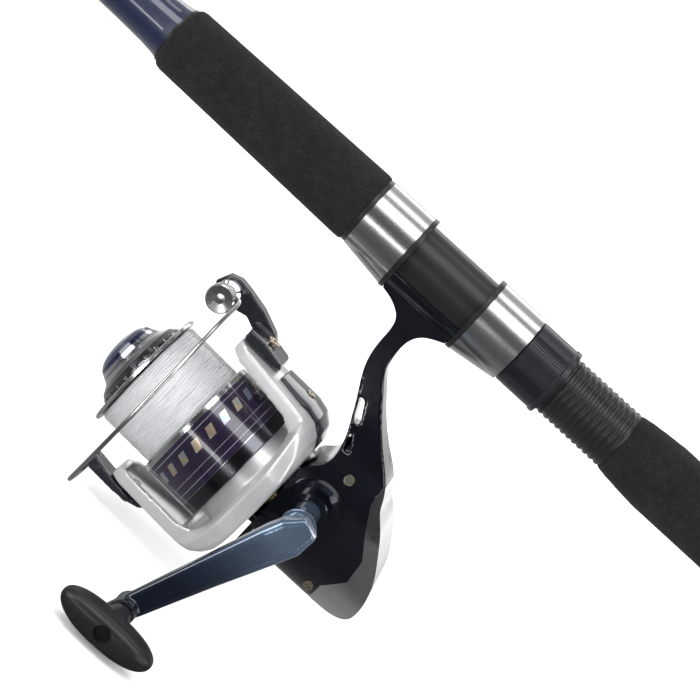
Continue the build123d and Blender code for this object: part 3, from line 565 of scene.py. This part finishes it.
# rings of points joined into a closed tube; a ring of one point is a tip
def skin(name, rings):
    mesh = bmesh.new()
    rows = [[mesh.verts.new(p) for p in ring] for ring in rings]
    for near, far in zip(rows, rows[1:]):
        count = max(len(near), len(far))
        for i in range(count):
            j = (i + 1) % count
            if len(near) == 1:
                mesh.faces.new((near[0], far[j], far[i]))
            elif len(far) == 1:
                mesh.faces.new((near[i], near[j], far[0]))
            else:
                mesh.faces.new((near[i], near[j], far[j], far[i]))
    if len(rows[0]) > 1:
        mesh.faces.new(list(reversed(rows[0])))
    if len(rows[-1]) > 1:
        mesh.faces.new(rows[-1])
    bmesh.ops.recalc_face_normals(mesh, faces=mesh.faces)
    made = bpy.data.meshes.new(name)
    mesh.to_mesh(made)
    mesh.free()
    return made


def addEasing(raw, voxel, rounds, keep=1.0):
    remesh = raw.modifiers.new("remesh", "REMESH")
    remesh.mode = "VOXEL"
    remesh.voxel_size = voxel
    ease = raw.modifiers.new("ease", "SMOOTH")
    ease.iterations = rounds
    if keep < 1:
        raw.modifiers.new("thin", "DECIMATE").ratio = keep


def addCut(raw, cutter):
    cut = raw.modifiers.new("cut", "BOOLEAN")
    cut.operation = "DIFFERENCE"
    cut.object = cutter


# the mesh of a raw shape after its modifiers; the shape and its cutters then leave the scene
def settled(name, raw, crease, *cutters):
    graph = bpy.context.evaluated_depsgraph_get()
    graph.update()
    mesh = bpy.data.meshes.new_from_object(raw.evaluated_get(graph))
    mesh.name = name
    for used in (raw, *cutters):
        bpy.data.objects.remove(used)
    shadeSmooth(mesh, crease)
    return mesh


# the line as it lies on the spool, in millimetres along the reel's axis and out from it
windLine = {
    "start": 35.9, "end": 60.8, "radius": 24.36,
    "turnPitch": 0.52, "rowsInTurn": 4, "around": 110,
    "ridge": 0.104,                  # height of a strand
    "unevenness": 0.13,              # of the pile
    "drop": 0.5, "edge": 0.035,      # how the pile slopes off at its edges, and the share that does
    "wander": 0.8,                   # of a strand, in turns
    "patch": (0.35, 2.2),            # how fast both change along the axis and round it
    "crease": 60,
}


def addLine():
    length = windLine["end"] - windLine["start"]
    count = int(length / windLine["turnPitch"]) * windLine["rowsInTurn"]
    slow, quick = windLine["patch"]
    rings = []
    for row in range(count + 1):
        share = row / count
        along = windLine["start"] + length * share
        fall = windLine["drop"] * max(0.0, 1 - min(share, 1 - share) / windLine["edge"]) ** 2
        ring = []
        for step in range(windLine["around"]):
            angle = fullTurn * step / windLine["around"]
            spot = Vector((along * slow, math.cos(angle) * quick, math.sin(angle) * quick))
            shift = noise.noise(spot) * windLine["wander"]
            wave = math.sin(fullTurn * (row / windLine["rowsInTurn"] + shift + step / windLine["around"]))
            radius = windLine["radius"] + windLine["ridge"] * wave - fall
            radius += windLine["unevenness"] * noise.noise(spot * 3 + Vector((5, 0, 0)))
            ring.append(reelPoint(along, radius * math.cos(angle), radius * math.sin(angle)))
        rings.append(ring)
    mesh = skin("woundLine", rings)
    shadeSmooth(mesh, windLine["crease"])
    newPiece("woundLine", mesh, "line", "spool_assembly", "line_fill")


addLine()
print("line wound")

# copies of CAD nodes with every edge eased: voxel in metres, smoothing rounds, share of the faces kept
castings = {
    "rotorCasting": {"copied": "rotor", "voxel": 0.0006, "rounds": 6, "keep": 0.4,
                     "finish": "rotorPaint", "body": "rotor_assembly"},
    "armCoverMoulding": {"copied": "arm_cover", "voxel": 0.0004, "rounds": 5, "keep": 0.5,
                         "finish": "glossBlack", "body": "rotor_assembly"},
    "bailArmCasting": {"copied": "bail_arm", "voxel": 0.0004, "rounds": 6, "keep": 0.5,
                       "finish": "glossBlack", "body": "bail"},
    "bailLeverCasting": {"copied": "bail_lever", "voxel": 0.0004, "rounds": 6, "keep": 0.5,
                         "finish": "glossBlack", "body": "bail"},
    "crankCasting": {"copied": "handle_arm", "voxel": 0.0004, "rounds": 4, "keep": 0.4,
                     "finish": "armLacquer", "body": "crank"},
}
castingCrease = 40


def addCasting(name, copied, voxel, rounds, keep, finish, body):
    raw = placed(name + "Raw", nodes[copied].data.copy())
    addEasing(raw, voxel, rounds, keep)
    newPiece(name, settled(name, raw, castingCrease), finish, body, copied)


for name, casting in castings.items():
    addCasting(name, **casting)
print("castings eased")

# the two openings through the stem, cut on the slope that lets them be seen through
stemWindows = {
    "slope": 0.16,                   # how far they drop for each millimetre towards the far side
    "near": 8.5, "far": -10.0,
    "voxel": 0.00045, "rounds": 8, "keep": 0.5, "crease": 32,
    "outlines": (
        ((-6.4, -53.0), (-8.6, -53.6), (-13.3, -61.7), (-10.9, -62.6)),
        ((-12.8, -66.0), (-15.0, -66.6), (-19.2, -71.7), (-15.8, -72.8)),
    ),
}


def addStem():
    near, far = stemWindows["near"], stemWindows["far"]
    raw = placed("stemRaw", nodes["reel_body"].data.copy())
    cutters = []
    for outline in stemWindows["outlines"]:
        rings = [[Vector((x, y, z + (y - near) * stemWindows["slope"])) * 0.001 for x, z in outline]
                 for y in (near, far)]
        cutters.append(placed("windowCutter", skin("windowCutter", rings)))
        addCut(raw, cutters[-1])
    addEasing(raw, stemWindows["voxel"], stemWindows["rounds"], stemWindows["keep"])
    mesh = settled("stemCasting", raw, stemWindows["crease"], *cutters)
    newPiece("stemCasting", mesh, "bodyLacquer", "rod", "reel_body")


addStem()
print("stem cast")

# the grip at the crank's end, in millimetres; places are along its post
gripKnob = {
    "post": (5.6, -152.0),           # across and up
    "middle": 92.3, "reach": 20.6, "depth": 6.9,      # place of the bar, its half length and half depth
    "top": 5.9, "topFall": 0.9,      # height over the post, and what it loses at the ends
    "belly": 7.5, "bellyFall": 1.7,
    "endPower": 3.2, "endRoot": 2.3,      # how blunt the ends are
    "corner": 2.5,                   # how square the section is
    "rows": 40, "around": 40, "drillAround": 48,
    "neck": ((78.6, 4.6), (81.0, 5.0), (85.0, 5.8), (90.0, 6.2)),      # place and radius
    "drill": ((78.0, 2.2), (94.9, 2.2), (94.9, 3.4), (99.2, 3.4), (99.8, 4.1), (102.9, 4.3)),
    "voxel": 0.0005, "rounds": 14, "crease": 45,
}


# a tube round the knob's post through these places and radii
def postTube(name, profile, count):
    across, up = gripKnob["post"]
    angles = [fullTurn * step / count for step in range(count)]
    return skin(name, [
        [Vector((across + radius * math.cos(a), place, up + radius * math.sin(a))) * 0.001 for a in angles]
        for place, radius in profile])


def knobBar():
    across, up = gripKnob["post"]
    corner = gripKnob["corner"]
    rings = []
    for row in range(gripKnob["rows"] + 1):
        share = -math.cos(math.pi * row / gripKnob["rows"])
        full = max(0.0, 1 - abs(share) ** gripKnob["endPower"]) ** (1 / gripKnob["endRoot"])
        top = (gripKnob["top"] - gripKnob["topFall"] * share ** 2) * full
        belly = (gripKnob["belly"] - gripKnob["bellyFall"] * share ** 2) * full
        ring = []
        for step in range(gripKnob["around"]):
            angle = fullTurn * step / gripKnob["around"]
            side, rise = math.cos(angle), math.sin(angle)
            square = (abs(side) ** corner + abs(rise) ** corner) ** (-1 / corner)
            ring.append(Vector((
                across + gripKnob["reach"] * share,
                gripKnob["middle"] + gripKnob["depth"] * full * side * square,
                up + (top if rise > 0 else belly) * rise * square)) * 0.001)
        rings.append(ring if full > 0 else [ring[0]])
    return skin("knobBar", rings)


def addKnob():
    both = bmesh.new()
    both.from_mesh(knobBar())
    both.from_mesh(postTube("knobNeck", gripKnob["neck"], gripKnob["around"]))
    mesh = bpy.data.meshes.new("knobRaw")
    both.to_mesh(mesh)
    both.free()
    raw = placed("knobRaw", mesh)
    addEasing(raw, gripKnob["voxel"], gripKnob["rounds"])
    drill = placed("knobDrill", postTube("knobDrill", gripKnob["drill"], gripKnob["drillAround"]))
    addCut(raw, drill)
    made = settled("crankKnob", raw, gripKnob["crease"], drill)
    newPiece("crankKnob", made, "knobRubber", "handle_grip", "handle_knob")


addKnob()
print("knob moulded")

# the paper, the room, and how dark each looks in a shiny surface
studio = {
    "floorSize": 60.0, "floorGap": 0.002,
    "floorTone": (0.97, 0.97, 0.97),
    "sky": 1.36,
    "glossFront": 0.05, "glossBack": 0.62,      # what is seen on the camera's side and behind the rod
    "floorFade": (-0.12, 0.45), "skyFade": (-0.25, 0.55),      # where the front gives way to the back
}


def addFloor():
    low = cadBox[0][2] - studio["floorGap"]
    reach = studio["floorSize"]
    mesh = bpy.data.meshes.new("studioFloor")
    corners = [(x * reach, y * reach, low) for x, y in ((-1, -1), (1, -1), (1, 1), (-1, 1))]
    mesh.from_pydata(corners, [], [(0, 1, 2, 3)])
    paper = Finish("studioPaper", {
        "Base Color": studio["floorTone"], "Roughness": 1.0, "Specular IOR Level": 0.0})
    behind = (paper.axes()[1] * -1).rise(*studio["floorFade"])
    front, back = (paper.node("ShaderNodeBsdfDiffuse", None, {"Color": (studio[side],) * 3})
                   for side in ("glossFront", "glossBack"))
    dim = paper.node("ShaderNodeMixShader", None, {0: behind, 1: front, 2: back})
    gloss = paper.node("ShaderNodeLightPath", output="Is Glossy Ray")
    paper.feed(paper.end.inputs["Surface"],
               paper.node("ShaderNodeMixShader", None, {0: gloss, 1: paper.surface, 2: dim}))
    mesh.materials.append(paper.material)
    placed("studioFloor", mesh)


def addSky():
    world = bpy.data.worlds.new("studioSky")
    bpy.context.scene.world = world
    world.use_nodes = True
    sky = Wiring(world.node_tree)
    gloss = sky.node("ShaderNodeLightPath", output="Is Glossy Ray")
    aim = sky.node("ShaderNodeTexCoord", output="Generated")
    behind = (sky.node("ShaderNodeSeparateXYZ", None, {0: aim}, "Y") * -1).rise(*studio["skyFade"])
    inGloss = behind * (studio["glossBack"] - studio["glossFront"]) + studio["glossFront"]
    strength = studio["sky"] + gloss * (inGloss - studio["sky"])
    light = sky.node("ShaderNodeBackground", None, {"Strength": strength})
    sky.node("ShaderNodeOutputWorld", None, {"Surface": light})


# place, what it points at, width, height and power
softBoxes = {
    "keyBox": ((0.12, 0.50, 0.74), (0.05, 0, -0.05), 1.5, 0.40, 8),
    "topBox": ((0.0, -0.12, 0.95), (0, 0, -0.05), 1.2, 0.25, 2.5),
    "tipSideBox": ((0.85, 0.45, 0.12), (0, 0, -0.08), 0.35, 0.6, 3.2),
    "buttSideBox": ((-0.9, 0.30, 0.30), (0, 0, -0.06), 0.35, 0.5, 2.4),
    "backBox": ((0.1, -0.9, 0.5), (0, 0, -0.05), 1.2, 0.35, 3),
    "buttStrip": ((-0.50, 0.62, 0.02), (-0.02, 0, -0.10), 0.07, 0.5, 1.3),
    "tipStrip": ((0.62, 0.55, 0.0), (0.02, 0, -0.10), 0.07, 0.5, 1.2),
    "lowBox": ((0.25, 0.75, -0.10), (0.0, 0, -0.10), 0.5, 0.10, 1.0),
}


def addSoftBox(name, place, aim, width, height, power):
    data = bpy.data.lights.new(name, "AREA")
    data.shape = "RECTANGLE"
    data.size = width
    data.size_y = height
    data.energy = power
    lamp = placed(name, data)
    lamp.location = place
    lamp.rotation_euler = (Vector(place) - Vector(aim)).to_track_quat("Z", "Y").to_euler()


addFloor()
addSky()
for name, box in softBoxes.items():
    addSoftBox(name, *box)
print("studio lit")
